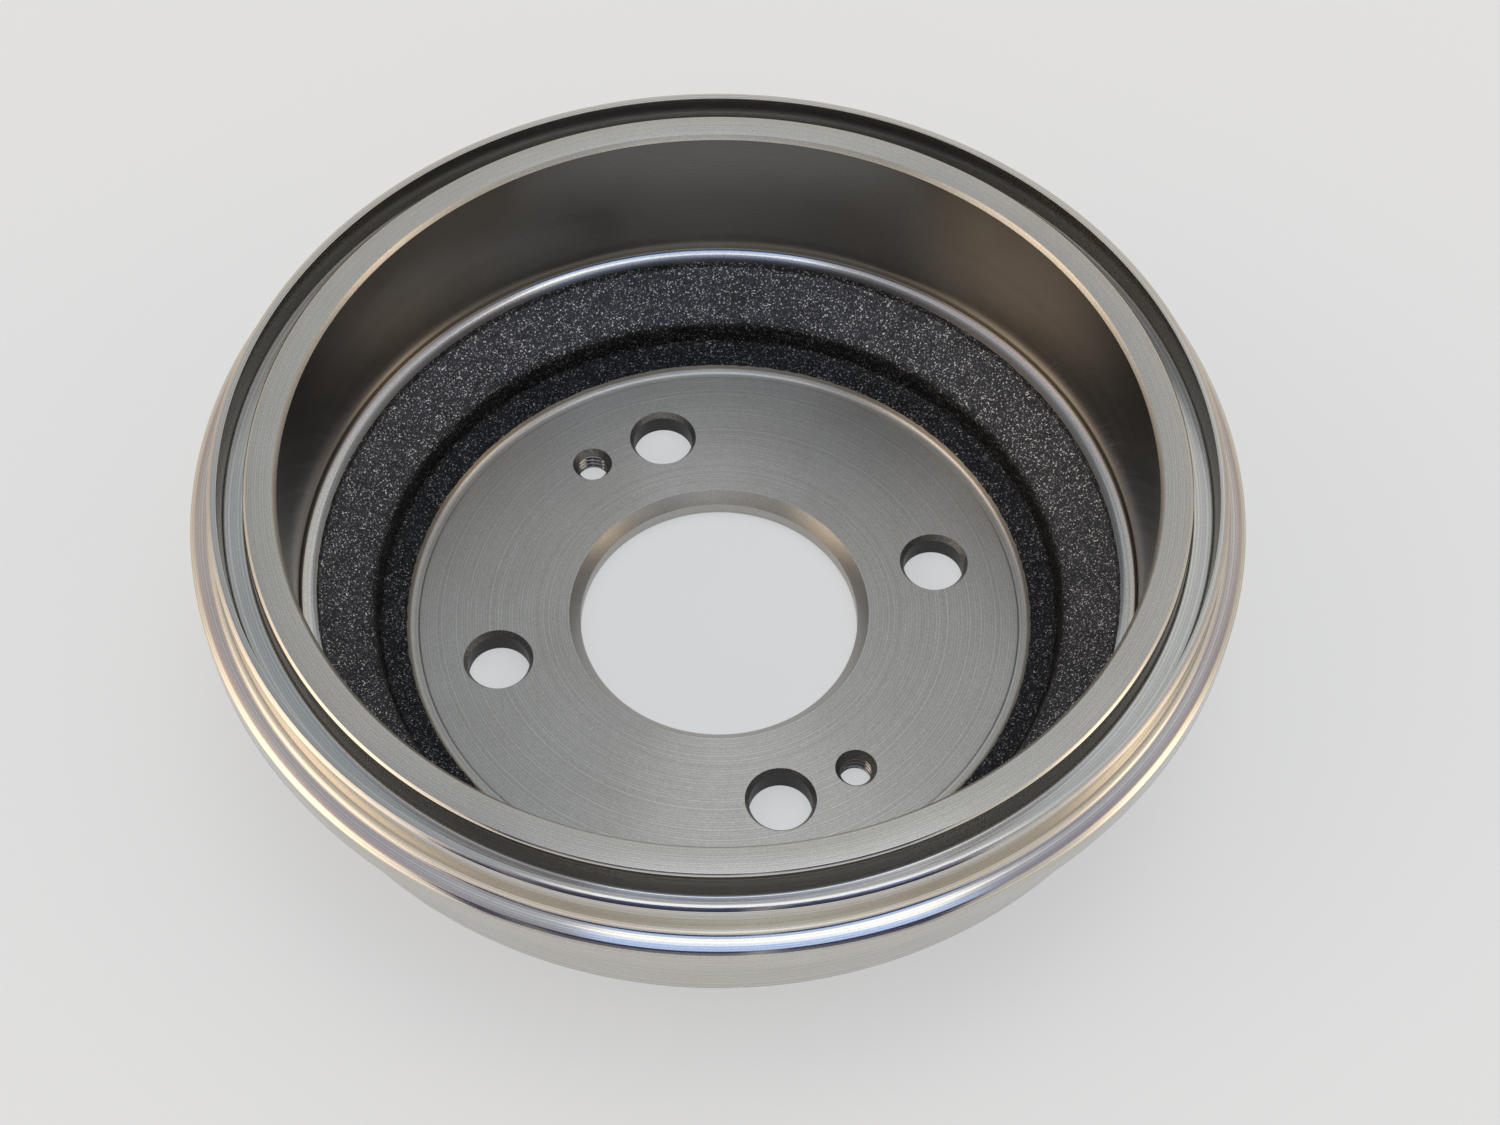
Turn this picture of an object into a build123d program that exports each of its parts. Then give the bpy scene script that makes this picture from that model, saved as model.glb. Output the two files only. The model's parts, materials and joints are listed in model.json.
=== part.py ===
"""Rear brake drum: one grey-iron casting, turned on its working faces.

Millimetres. The drum stands on its wheel face, open side up. The origin is the centre of that
face, +Z is the drum's axis and the first bolt hole lies on +X.
"""
import os
from math import radians, tan

from build123d import *

# ---- centre bore and hub seat -------------------------------------------------------------------
BORE_DIAMETER = 61.6            # pilots on the hub's spigot
BORE_CHAMFER = 2.4              # lead-in on the hub side
BORE_BACK_CHAMFER = 0.4         # deburring on the wheel side
WEB_THICKNESS = 5.8             # plate clamped between hub flange and wheel
SEAT_DIAMETER = 137.0           # turned recess that takes the hub flange
SEAT_DEPTH = 1.6                # height of the recess's turned wall above the seat
SEAT_WALL_LEAN = 9.0            # degrees the recess's wall leans outwards
SEAT_CORNER = 0.8               # chamfer left by the turning tool at the foot of that wall
RELIEF_WIDTH = 2.4              # shallow run-out groove beside the recess's wall
RELIEF_DEPTH = 0.15
RELIEF_RAMP = 0.4               # slope from the seat down into the groove

# ---- holes through the web ----------------------------------------------------------------------
BOLT_CIRCLE_DIAMETER = 100.0
BOLT_HOLE_COUNT = 4
BOLT_HOLE_DIAMETER = 13.5       # clears an M12 wheel stud
BOLT_SINK_DIAMETER = 15.3
JACK_HOLE_COUNT = 2
JACK_CORE_DIAMETER = 6.8        # tapping size of the M8 x 1.25 jacking thread
JACK_SINK_DIAMETER = 9.0
JACK_HOLE_LAG = 20.6            # degrees from a bolt hole to the jacking hole that follows it
SINK_ANGLE = 70.0               # included angle of both countersinks

# ---- cast web between the hub seat and the friction ring ----------------------------------------
CAST_EDGE = 0.6                 # 45-degree rise from the turned recess to the cast floor
VALLEY_WIDTH = 4.9              # cast floor around the recess
VALLEY_RISE = 1.2               # how much that floor climbs outwards
STEP_HEIGHT = 5.7               # cast step up to the cone
STEP_LEAN = 1.0                 # how much the step leans outwards over its height
STEP_ROUNDING = 2.0             # top of the step
CONE_LEDGE = 1.6                # the cone stops this far below the turned corner ring
CONE_LEDGE_LEAN = 0.3

# ---- friction ring ------------------------------------------------------------------------------
FRICTION_DIAMETER = 180.0
CORNER_HEIGHT = 24.0            # turned corner ring, above the wheel face
CORNER_FLAT = 1.8               # level start of the corner ring
CORNER_WIDTH = 3.5
CORNER_SLOPE = 32.0             # degrees of its climb to the friction surface
CORNER_RADIUS = 1.3
MOUTH_CHAMFER_WIDTH = 0.8
MOUTH_CHAMFER_DEPTH = 1.0
RING_THICKNESS = 6.7            # radial, at the ring's face
RING_BEVEL = 0.4

# ---- labyrinth groove and lip -------------------------------------------------------------------
DRUM_HEIGHT = 62.0
RING_SETBACK = 0.1              # the ring's face lies this far below the lip's edge
GROOVE_WIDTH = 5.3              # radial, at the mouth
GROOVE_DEPTH = 7.1
GROOVE_INNER_DRAFT = 7.0        # degrees
GROOVE_OUTER_DRAFT = 8.0
GROOVE_CORNER = 0.8             # chamfer between the ring's wall and the groove's floor
LIP_THICKNESS = 1.9
LIP_BEVEL_WIDTH = 0.9
LIP_BEVEL_DEPTH = 0.45

# ---- outer flange and body ----------------------------------------------------------------------
NECK_DEPTH = 7.95               # from the lip's edge down to the flange
NECK_RADIUS = 1.9
FLANGE_WIDTH = 4.7              # radial, outside the lip
FLANGE_FALL = 15.0              # degrees the flange's top falls outwards
FLANGE_BEVEL_WIDTH = 0.7
FLANGE_BEVEL_SLOPE = 30.0       # degrees
FLANGE_FACE = 4.9               # height of the flange's upright face
BODY_WALL = 10.8                # radial, outside the friction surface
FLANGE_ROOT = 2.0               # 45-degree root between the flange's underside and the body

# ---- back of the drum ---------------------------------------------------------------------------
SKIRT_WALL = 7.5                # radial, outside the foot of the cast step
SKIRT_HEIGHT = 11.0             # the back cone starts here, above the wheel face
SKIRT_DRAFT = 8.0               # degrees
BACK_CHAMFER = 3.0              # 45 degrees, around the turned wheel face

# ---- radii and heights worked out from the sizes ------------------------------------------------
bore_radius = BORE_DIAMETER / 2
seat_radius = SEAT_DIAMETER / 2
relief_floor = WEB_THICKNESS - RELIEF_DEPTH
recess_edge = seat_radius + (SEAT_DEPTH + RELIEF_DEPTH) * tan(radians(SEAT_WALL_LEAN))
recess_top = WEB_THICKNESS + SEAT_DEPTH
step_foot_radius = recess_edge + CAST_EDGE + VALLEY_WIDTH
step_foot = recess_top + CAST_EDGE + VALLEY_RISE
friction_radius = FRICTION_DIAMETER / 2
corner_edge = friction_radius - CORNER_WIDTH
ring_face = DRUM_HEIGHT - RING_SETBACK
ring_radius = friction_radius + RING_THICKNESS
groove_floor = ring_face - GROOVE_DEPTH
lip_inner_radius = ring_radius + GROOVE_WIDTH
lip_radius = lip_inner_radius + LIP_THICKNESS
flange_radius = lip_radius + FLANGE_WIDTH
flange_top = DRUM_HEIGHT - NECK_DEPTH
body_radius = friction_radius + BODY_WALL
skirt_radius = step_foot_radius + SKIRT_WALL


def bore_and_seat():
    """Section of the bore and the hub seat: a list of ((radius, height), rounding)."""
    relief_start = seat_radius - RELIEF_WIDTH
    lean = radians(SEAT_WALL_LEAN)
    return [
        ((bore_radius + BORE_BACK_CHAMFER, 0), 0),
        ((bore_radius, BORE_BACK_CHAMFER), 0),
        ((bore_radius, WEB_THICKNESS - BORE_CHAMFER), 0),
        ((bore_radius + BORE_CHAMFER, WEB_THICKNESS), 0),
        ((relief_start, WEB_THICKNESS), 0),
        ((relief_start + RELIEF_RAMP, relief_floor), 0),
        ((seat_radius - SEAT_CORNER, relief_floor), 0),
        ((seat_radius + SEAT_CORNER * tan(lean), relief_floor + SEAT_CORNER), 0),
        ((recess_edge, recess_top), 0),
    ]


def corner_ring():
    """Section of the turned corner under the friction surface, from its inner edge outwards."""
    climb = (CORNER_WIDTH - CORNER_FLAT) * tan(radians(CORNER_SLOPE))
    return [
        ((corner_edge, CORNER_HEIGHT), 0),
        ((corner_edge + CORNER_FLAT, CORNER_HEIGHT), 0),
        ((friction_radius, CORNER_HEIGHT + climb), CORNER_RADIUS),
    ]


def cast_web():
    """Section of the rough floor, the step and the cone that ends under the corner ring."""
    return [
        ((recess_edge + CAST_EDGE, recess_top + CAST_EDGE), 0),
        ((step_foot_radius, step_foot), 0),
        ((step_foot_radius + STEP_LEAN, step_foot + STEP_HEIGHT), STEP_ROUNDING),
        ((corner_edge - CONE_LEDGE_LEAN, CORNER_HEIGHT - CONE_LEDGE), 0),
    ]


def ring_mouth():
    """Section of the friction ring's open end."""
    return [
        ((friction_radius, ring_face - MOUTH_CHAMFER_DEPTH), 0),
        ((friction_radius + MOUTH_CHAMFER_WIDTH, ring_face), 0),
        ((ring_radius - RING_BEVEL, ring_face), 0),
        ((ring_radius, ring_face - RING_BEVEL), 0),
    ]


def groove_and_lip():
    """Section of the labyrinth groove, which takes the backing plate's edge, and of its lip."""
    inner_wall = tan(radians(GROOVE_INNER_DRAFT))
    ring_foot = ring_radius + (GROOVE_DEPTH - RING_BEVEL) * inner_wall
    outer_draft = (GROOVE_DEPTH + RING_SETBACK) * tan(radians(GROOVE_OUTER_DRAFT))
    return [
        ((ring_foot - GROOVE_CORNER * inner_wall, groove_floor + GROOVE_CORNER), 0),
        ((ring_foot + GROOVE_CORNER, groove_floor), 0),
        ((lip_inner_radius - outer_draft, groove_floor), 0),
        ((lip_inner_radius, DRUM_HEIGHT), 0),
        ((lip_radius - LIP_BEVEL_WIDTH, DRUM_HEIGHT), 0),
        ((lip_radius, DRUM_HEIGHT - LIP_BEVEL_DEPTH), 0),
    ]


def flange_and_body():
    """Section of the neck, the flange and the body down to the back cone."""
    bevel_start = flange_radius - FLANGE_BEVEL_WIDTH
    bevel_top = flange_top - (bevel_start - lip_radius) * tan(radians(FLANGE_FALL))
    bevel_foot = bevel_top - FLANGE_BEVEL_WIDTH * tan(radians(FLANGE_BEVEL_SLOPE))
    underside = bevel_foot - FLANGE_FACE
    return [
        ((lip_radius, flange_top), NECK_RADIUS),
        ((bevel_start, bevel_top), 0),
        ((flange_radius, bevel_foot), 0),
        ((flange_radius, underside), 0),
        ((body_radius + FLANGE_ROOT, underside), 0),
        ((body_radius, underside - FLANGE_ROOT), 0),
        ((body_radius, CORNER_HEIGHT), 0),
    ]


def back():
    """Section of the skirt and the wheel face; the body's foot lies level with the corner ring."""
    foot_radius = skirt_radius - (SKIRT_HEIGHT - BACK_CHAMFER) * tan(radians(SKIRT_DRAFT))
    return [
        ((skirt_radius, SKIRT_HEIGHT), 0),
        ((foot_radius, BACK_CHAMFER), 0),
        ((foot_radius - BACK_CHAMFER, 0), 0),
    ]


def turned_casting():
    """The drum without its holes: the closed section, turned about the axis."""
    section = bore_and_seat() + cast_web() + corner_ring() + ring_mouth()
    section += groove_and_lip() + flange_and_body() + back()
    points = [point for point, _ in section]
    roundings = [rounding for _, rounding in section]
    with BuildPart() as casting:
        with BuildSketch(Plane.XZ):
            with BuildLine():
                FilletPolyline(*points, radius=roundings, close=True)
            make_face()
        revolve(axis=Axis.Z)
    return casting.part


def drilled(casting):
    """The casting with wheel-stud holes and jacking holes, all countersunk on the hub seat."""
    pitch = 360 / BOLT_HOLE_COUNT
    with BuildPart() as drum:
        add(casting)
        with Locations((0, 0, WEB_THICKNESS)):
            with PolarLocations(BOLT_CIRCLE_DIAMETER / 2, BOLT_HOLE_COUNT):
                CounterSinkHole(
                    BOLT_HOLE_DIAMETER / 2,
                    BOLT_SINK_DIAMETER / 2,
                    counter_sink_angle=SINK_ANGLE,
                )
            with PolarLocations(BOLT_CIRCLE_DIAMETER / 2, JACK_HOLE_COUNT, pitch + JACK_HOLE_LAG):
                CounterSinkHole(
                    JACK_CORE_DIAMETER / 2,
                    JACK_SINK_DIAMETER / 2,
                    counter_sink_angle=SINK_ANGLE,
                )
    return drum.part


brake_drum = drilled(turned_casting())
brake_drum.label = "brake_drum"

os.makedirs("parts", exist_ok=True)
export_step(brake_drum, "parts/brake_drum.step")
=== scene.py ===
"""Rear brake drum of grey cast iron, standing on its wheel face on a pale table.

The drum is one casting, so it is one mesh: its turned section swept about the axis, with the
cast skin's grain, the tapped threads and the tool-nose radii that the plain solid leaves out.
Sizes are millimetres and become metres where a mesh is made.
"""

import json
import logging
from dataclasses import dataclass
from enum import Enum
from math import ceil, cos, hypot, pi, radians, sin, tan

import bpy
import numpy as np
from mathutils import Matrix, Vector, noise
from mathutils.geometry import tessellate_polygon


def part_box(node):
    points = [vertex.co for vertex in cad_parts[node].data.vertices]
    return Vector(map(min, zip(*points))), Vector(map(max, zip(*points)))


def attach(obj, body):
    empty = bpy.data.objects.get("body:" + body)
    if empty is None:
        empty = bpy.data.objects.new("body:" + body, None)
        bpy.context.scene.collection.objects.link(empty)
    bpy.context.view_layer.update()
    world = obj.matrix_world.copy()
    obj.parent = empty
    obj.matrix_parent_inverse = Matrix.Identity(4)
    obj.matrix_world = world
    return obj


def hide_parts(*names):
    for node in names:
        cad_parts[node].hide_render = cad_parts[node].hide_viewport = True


log = logging.getLogger("brake_drum")
Material, Tree, Node = bpy.types.Material, bpy.types.NodeTree, bpy.types.Node
Source = Node | bpy.types.NodeSocket           # what an input can be linked to

NODE = "brake_drum"
BODY = "root"
MM = 0.001
NOISE_LOW, NOISE_HIGH = 0.3, 0.7     # a noise texture rarely leaves this range
NOISE_GAIN = 2.0                     # so its relief is about half as deep as the distance set
FINE_EDGE = 0.15                     # mm, roundings up to this size need only half the rows

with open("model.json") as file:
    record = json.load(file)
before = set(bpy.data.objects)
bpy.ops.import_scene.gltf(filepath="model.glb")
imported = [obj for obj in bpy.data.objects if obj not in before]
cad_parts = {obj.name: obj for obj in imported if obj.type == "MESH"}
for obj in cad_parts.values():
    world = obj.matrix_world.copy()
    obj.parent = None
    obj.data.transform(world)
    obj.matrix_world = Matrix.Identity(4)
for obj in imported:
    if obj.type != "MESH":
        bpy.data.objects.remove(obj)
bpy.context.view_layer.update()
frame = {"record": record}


# ---- helpers --------------------------------------------------------------------------------


def linear(hex_colour: str) -> tuple[float, float, float, float]:
    """Turns an sRGB hex colour into linear RGBA.

    Args:
        hex_colour: six hex digits, with or without a leading #.

    Returns:
        The linear colour, with alpha 1.
    """
    digits = hex_colour.lstrip("#")
    channels = [int(digits[i : i + 2], 16) / 255 for i in (0, 2, 4)]
    red, green, blue = (c / 12.92 if c <= 0.04045 else ((c + 0.055) / 1.055) ** 2.4 for c in channels)
    return (red, green, blue, 1.0)


def add_node(
    tree: Tree,
    kind: str,
    settings: dict[str, object] | None = None,
    inputs: dict[str | int, object] | None = None,
) -> Node:
    """Adds one shader node.

    Args:
        tree: the node tree that takes it.
        kind: the node's type name, without the ShaderNode prefix.
        settings: attributes to set on the node.
        inputs: for each input, the value to set or the source to link; a node gives its first
            output.

    Returns:
        The new node.
    """
    node = tree.nodes.new("ShaderNode" + kind)
    for name, value in (settings or {}).items():
        setattr(node, name, value)
    for name, value in (inputs or {}).items():
        if isinstance(value, Source):
            tree.links.new(value.outputs[0] if isinstance(value, Node) else value, node.inputs[name])
        else:
            node.inputs[name].default_value = value
    return node


def new_material(name: str) -> tuple[Material, Tree]:
    """Adds a material without nodes.

    Args:
        name: what it is called.

    Returns:
        The material and its empty node tree.
    """
    material = bpy.data.materials.new(name)
    material.use_nodes = True
    material.node_tree.nodes.clear()
    return material, material.node_tree


def factors(
    tree: Tree, patterns: list[tuple[Source, float, float, float, float]], interpolation: str = "LINEAR"
) -> Source:
    """Maps each pattern to a factor and multiplies the factors.

    Args:
        tree: the node tree that takes the nodes.
        patterns: each one's source, the range it is read in and the factors at its two ends.
        interpolation: how a factor goes from one end to the other.

    Returns:
        The product.
    """
    product = None
    for pattern, low, high, least, most in patterns:
        factor = add_node(
            tree, "MapRange", {"interpolation_type": interpolation},
            {0: pattern, 1: low, 2: high, 3: least, 4: most},
        )
        if product is not None:
            factor = add_node(tree, "Math", {"operation": "MULTIPLY"}, {0: product, 1: factor})
        product = factor
    return product


def slope(degrees: float) -> float:
    """How far a line at this angle leaves its axis in one unit."""
    return tan(radians(degrees))


def record_mount(name: str) -> dict:
    """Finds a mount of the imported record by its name."""
    return next(mount for mount in frame["record"]["mounts"] if mount["name"] == name)


# ---- finishes -------------------------------------------------------------------------------


class Finish(Enum):
    """Surface finishes of the drum; the value is the material slot's index."""

    SEAT = 0
    RING_FACE = 1
    FRICTION = 2
    OUTER = 3
    CAST = 4
    DRILLED = 5
    THREAD = 6
    BACK = 7
    CAST_BACK = 8
    GROOVE = 9
    CORNER = 10
    SINK = 11


@dataclass(frozen=True)
class TurnedIron:
    """Grey cast iron, turned dry with a round-nosed carbide tool and left bare.

    The feed leaves fine rings around the axis: they stretch each reflection across the rings,
    so that a face shows soft radial fans of light, and they show as hairlines near the eye.
    Graphite flakes speckle the metal with grey.

    Attributes:
        name: the material's name.
        colour, stain: sRGB hex of the bare metal and of its thin film of oil and dust.
        roughness: of the metal along a ring.
        anisotropy: how far the rings stretch a reflection, from 0 to 1.
        feed: mm from ring to ring; a real 0.25 mm feed is too fine to show, so it is coarser.
        ring_depth: mm of relief.
        ring_contrast: share by which the rings change the colour.
        flake: mm across a speckle; real graphite flakes of 0.1 mm are too fine to show.
        flake_contrast: share by which the flakes change the colour.
        pit: mm, radius of the blowholes that the cut has opened.
        pit_share: share of the cells that hold a blowhole.
    """

    name: str
    colour: str = "#C3C1BC"
    stain: str = "#B3AEA6"
    roughness: float = 0.30
    anisotropy: float = 0.85
    feed: float = 0.6
    ring_depth: float = 0.0015
    ring_contrast: float = 0.10
    flake: float = 0.35
    flake_contrast: float = 0.10
    pit: float = 0.25
    pit_share: float = 0.0

    BAND_FEEDS = 0.12          # bands of tool wear to a ring
    BLOTCH = 14.0              # mm across a stain
    PIT_CELL = 13.0            # mm across a cell that may hold a blowhole
    PIT_SHADE = 0.12           # how much of the colour is left inside a blowhole
    CREST_SHARE = 0.6          # part of the even feed in the relief, beside the chatter's
    WEAR = (0.95, 1.07)        # share of the roughness in the smooth bands and in the worn ones
    ACROSS = 0.25              # quarter turn that lays the stretched reflection across the rings

    def blowholes(self, tree: Tree, place: Source) -> Source:
        """Adds scattered dark dots.

        Args:
            tree: the material's node tree.
            place: the place on the casting.

        Returns:
            The factor that darkens the colour.
        """
        cells = add_node(
            tree, "TexVoronoi", {"feature": "F1"}, {"Vector": place, "Scale": 1 / (self.PIT_CELL * MM)}
        )
        opened = add_node(
            tree, "Math", {"operation": "LESS_THAN"},
            {0: cells.outputs["Distance"], 1: self.pit / self.PIT_CELL},
        )
        lot = add_node(tree, "SeparateColor", inputs={0: cells.outputs["Color"]})
        chosen = add_node(tree, "Math", {"operation": "LESS_THAN"}, {0: lot, 1: self.pit_share})
        hollow = add_node(tree, "Math", {"operation": "MULTIPLY"}, {0: opened, 1: chosen})
        kept = add_node(tree, "MapRange", inputs={0: hollow, 1: 0.0, 2: 1.0, 3: 1.0, 4: self.PIT_SHADE})
        return kept

    def marks(self, tree: Tree, place: Source, rings: Source, crest: Source) -> Source:
        """Adds what lightens and darkens the metal: rings, flakes, feed lines and blowholes.

        Args:
            tree: the material's node tree.
            place: the place on the casting.
            rings: the uneven rings, from noise.
            crest: the even feed lines, from 0 to 0.5.

        Returns:
            The factor for the colour.
        """
        pale, dark = 1 + self.ring_contrast, 1 - self.ring_contrast
        flake_dark = 1 - self.flake_contrast
        flakes = add_node(
            tree, "TexNoise", inputs={"Vector": place, "Scale": 1 / (self.flake * MM), "Detail": 1.0}
        )
        marks = factors(tree, [
            (rings, NOISE_LOW, NOISE_HIGH, dark, pale),
            (flakes, NOISE_LOW, NOISE_HIGH, flake_dark, 1 / flake_dark),
            (crest, 0.0, 0.5, dark, pale),
        ])
        if self.pit_share:
            marks = add_node(
                tree, "Math", {"operation": "MULTIPLY"}, {0: marks, 1: self.blowholes(tree, place)}
            )
        return marks

    def build(self) -> Material:
        """Builds the material.

        Returns:
            A material whose rings follow the distance from the axis and the height.
        """
        material, tree = new_material(self.name)
        place = add_node(tree, "TexCoord").outputs["Object"]
        flat = add_node(tree, "VectorMath", {"operation": "MULTIPLY"}, {0: place, 1: (1, 1, 0)})
        reach = add_node(tree, "VectorMath", {"operation": "LENGTH"}, {0: flat}).outputs["Value"]
        height = add_node(tree, "SeparateXYZ", inputs={0: place}).outputs["Z"]
        travel = add_node(tree, "Math", {"operation": "SUBTRACT"}, {0: reach, 1: height})
        rings = add_node(
            tree, "TexNoise", {"noise_dimensions": "1D"},
            {"W": travel, "Scale": 1 / (self.feed * MM), "Detail": 2.0, "Roughness": 0.7},
        )
        turns = add_node(tree, "Math", {"operation": "DIVIDE"}, {0: travel, 1: self.feed * MM})
        crest = add_node(tree, "Math", {"operation": "PINGPONG"}, {0: turns, 1: 0.5})
        blotches = add_node(
            tree, "TexNoise", inputs={"Vector": place, "Scale": 1 / (self.BLOTCH * MM), "Detail": 4.0}
        )
        shade = add_node(
            tree, "Mix", {"data_type": "RGBA"},
            {0: blotches, 6: linear(self.colour), 7: linear(self.stain)},
        )
        tone = add_node(
            tree, "VectorMath", {"operation": "SCALE"},
            {0: shade.outputs[2], "Scale": self.marks(tree, place, rings, crest)},
        )
        bands = add_node(
            tree, "TexNoise", {"noise_dimensions": "1D"},
            {"W": travel, "Scale": self.BAND_FEEDS / (self.feed * MM), "Detail": 2.0},
        )
        smooth, dull = (self.roughness * share for share in self.WEAR)
        gloss = add_node(
            tree, "MapRange", inputs={0: bands, 1: NOISE_LOW, 2: NOISE_HIGH, 3: smooth, 4: dull}
        )
        cut = add_node(
            tree, "Math", {"operation": "MULTIPLY_ADD"}, {0: crest, 1: self.CREST_SHARE, 2: rings}
        )
        depth = self.ring_depth * MM * NOISE_GAIN
        relief = add_node(tree, "Bump", inputs={"Height": cut, "Distance": depth, "Strength": 1.0})
        tangent = add_node(tree, "Tangent", {"direction_type": "RADIAL", "axis": "Z"})
        shader = add_node(
            tree, "BsdfPrincipled",
            inputs={
                "Base Color": tone,
                "Metallic": 1.0,
                "Roughness": gloss,
                "Anisotropic": self.anisotropy,
                "Anisotropic Rotation": self.ACROSS,
                "Normal": relief,
                "Tangent": tangent,
            },
        )
        add_node(tree, "OutputMaterial", inputs={0: shader})
        return material


@dataclass(frozen=True)
class CastIron:
    """Grey iron as it left the sand mould, shot-blasted and dark with foundry skin.

    Every grain of sand has left a pit, so the skin is dull and nearly black. A few random grains
    have a painted glint: a white colour in place of facets that throw back the light.

    Attributes:
        name: the material's name.
        colour, painted_glint: sRGB hex of the skin and of the painted glint on a random grain.
        roughness: of the skin.
        grain: mm across a grain of the mould's sand.
        grain_depth: mm of relief.
        painted_shade_top, painted_shade_end: mm above the wheel face between which the painted shade
            below fades away.
        painted_shade, painted_light: factors of the colour below and above those heights.
    """

    name: str
    colour: str = "#404348"
    painted_glint: str = "#FFFFFF"
    roughness: float = 0.46
    grain: float = 0.24
    grain_depth: float = 0.12
    # painted shade: the skin is darker below these heights, in the valley at the step's foot and on the
    # skirt near the table, and lighter above
    painted_shade_top: float = 13.5
    painted_shade_end: float = 16.0
    painted_shade: float = 0.45
    painted_light: float = 1.15

    PAINTED_GLINT_POWER = 16.0         # the higher, the fewer grains get the painted glint
    CLUMP = 1.6                # grains across a clump of sand
    CLUMP_CONTRAST = 0.35      # share by which the clumps change the colour
    CLUMP_LOW, CLUMP_HIGH = 0.35, 0.65   # narrower than a noise's range, so that they stand out
    PATCH = 5.0                # mm across a darker patch
    PATCH_CONTRAST = 0.2       # share by which the patches change the colour

    def tint(self, tree: Tree, place: Source, sand: Source) -> Source:
        """Adds the skin's unevenness, patches and clumps of sand, and the painted shade low on the skin.

        Args:
            tree: the material's node tree.
            place: the place on the casting.
            sand: the noise of the clumps.

        Returns:
            The factor for the colour.
        """
        patches = add_node(
            tree, "TexNoise",
            inputs={"Vector": place, "Scale": 1 / (self.PATCH * MM), "Detail": 3.0, "Roughness": 0.6},
        )
        height = add_node(tree, "SeparateXYZ", inputs={0: place}).outputs["Z"]
        patch, clump = self.PATCH_CONTRAST, self.CLUMP_CONTRAST
        return factors(tree, [
            (patches, NOISE_LOW, NOISE_HIGH, 1 - patch, 1 + patch),
            (sand, self.CLUMP_LOW, self.CLUMP_HIGH, 1 - clump, 1 + clump),
            # painted shade low on the skin, painted light higher up
            (height, self.painted_shade_top * MM, self.painted_shade_end * MM, self.painted_shade, self.painted_light),
        ])

    def build(self) -> Material:
        """Builds the material: dark skin, sand grain and painted glints on scattered grains.

        Returns:
            A material whose grain follows the place on the casting.
        """
        material, tree = new_material(self.name)
        place = add_node(tree, "TexCoord").outputs["Object"]
        fineness = 1 / (self.grain * self.CLUMP * MM)
        sand = add_node(
            tree, "TexNoise",
            inputs={"Vector": place, "Scale": fineness, "Detail": 3.0, "Roughness": 0.65},
        )
        # painted glint: a few random grains of the skin are coloured white, standing in for facets that
        # throw back the light
        facets = add_node(
            tree, "TexVoronoi", {"feature": "F1"}, {"Vector": place, "Scale": 1 / (self.grain * MM)}
        )
        lot = add_node(tree, "SeparateColor", inputs={0: facets.outputs["Color"]})
        painted_glint_share = add_node(tree, "Math", {"operation": "POWER"}, {0: lot, 1: self.PAINTED_GLINT_POWER})
        skin = add_node(
            tree, "Mix", {"data_type": "RGBA"},
            {0: painted_glint_share, 6: linear(self.colour), 7: linear(self.painted_glint)},
        )
        tone = add_node(
            tree, "VectorMath", {"operation": "SCALE"},
            {0: skin.outputs[2], "Scale": self.tint(tree, place, sand)},
        )
        depth = self.grain_depth * MM * NOISE_GAIN
        relief = add_node(tree, "Bump", inputs={"Height": sand, "Distance": depth, "Strength": 1.0})
        shader = add_node(
            tree, "BsdfPrincipled",
            inputs={
                "Base Color": tone,
                "Metallic": 1.0,
                "Roughness": self.roughness,
                "Normal": relief,
            },
        )
        add_node(tree, "OutputMaterial", inputs={0: shader})
        return material


@dataclass(frozen=True)
class TableTop:
    """Satin white laminate: a flat pale sheet with the faintest unevenness of tone.

    Attributes:
        name: the material's name.
        colour, shade: sRGB hex, the two tones.
        backdrop: sRGB hex, the tone in which the camera and the metal see it.
        backdrop_share: how much of that tone goes over the lit laminate, so that shadows stay light.
        cloud: mm across a patch of one tone.
    """

    name: str = "table_satin_laminate"
    colour: str = "#DCDAD6"
    shade: str = "#D9D8D5"
    backdrop: str = "#F7F9FA"
    backdrop_share: float = 0.5
    cloud: float = 180.0

    def build(self) -> Material:
        """Builds the laminate.

        Returns:
            A material that is a little brighter to the camera and to mirrors than to other light.
        """
        material, tree = new_material(self.name)
        place = add_node(tree, "TexCoord").outputs["Object"]
        cloud = add_node(
            tree, "TexNoise", inputs={"Vector": place, "Scale": 1 / (self.cloud * MM), "Detail": 2.0}
        )
        tone = add_node(
            tree, "Mix", {"data_type": "RGBA"},
            {0: cloud, 6: linear(self.colour), 7: linear(self.shade)},
        )
        shader = add_node(
            tree, "BsdfPrincipled", inputs={"Base Color": tone.outputs[2], "Roughness": 0.55, "IOR": 1.45}
        )
        pale = add_node(tree, "Emission", inputs={"Color": linear(self.backdrop), "Strength": 1.0})
        path = add_node(tree, "LightPath").outputs
        seen = path["Is Camera Ray"]
        for kind in ("Is Glossy Ray", "Is Transmission Ray"):
            seen = add_node(tree, "Math", {"operation": "ADD"}, {0: seen, 1: path[kind]})
        share = add_node(
            tree, "Math", {"operation": "MULTIPLY", "use_clamp": True}, {0: seen, 1: self.backdrop_share}
        )
        both = add_node(tree, "MixShader", inputs={0: share, 1: shader, 2: pale})
        add_node(tree, "OutputMaterial", inputs={0: both})
        return material


# ---- the drum -------------------------------------------------------------------------------


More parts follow.
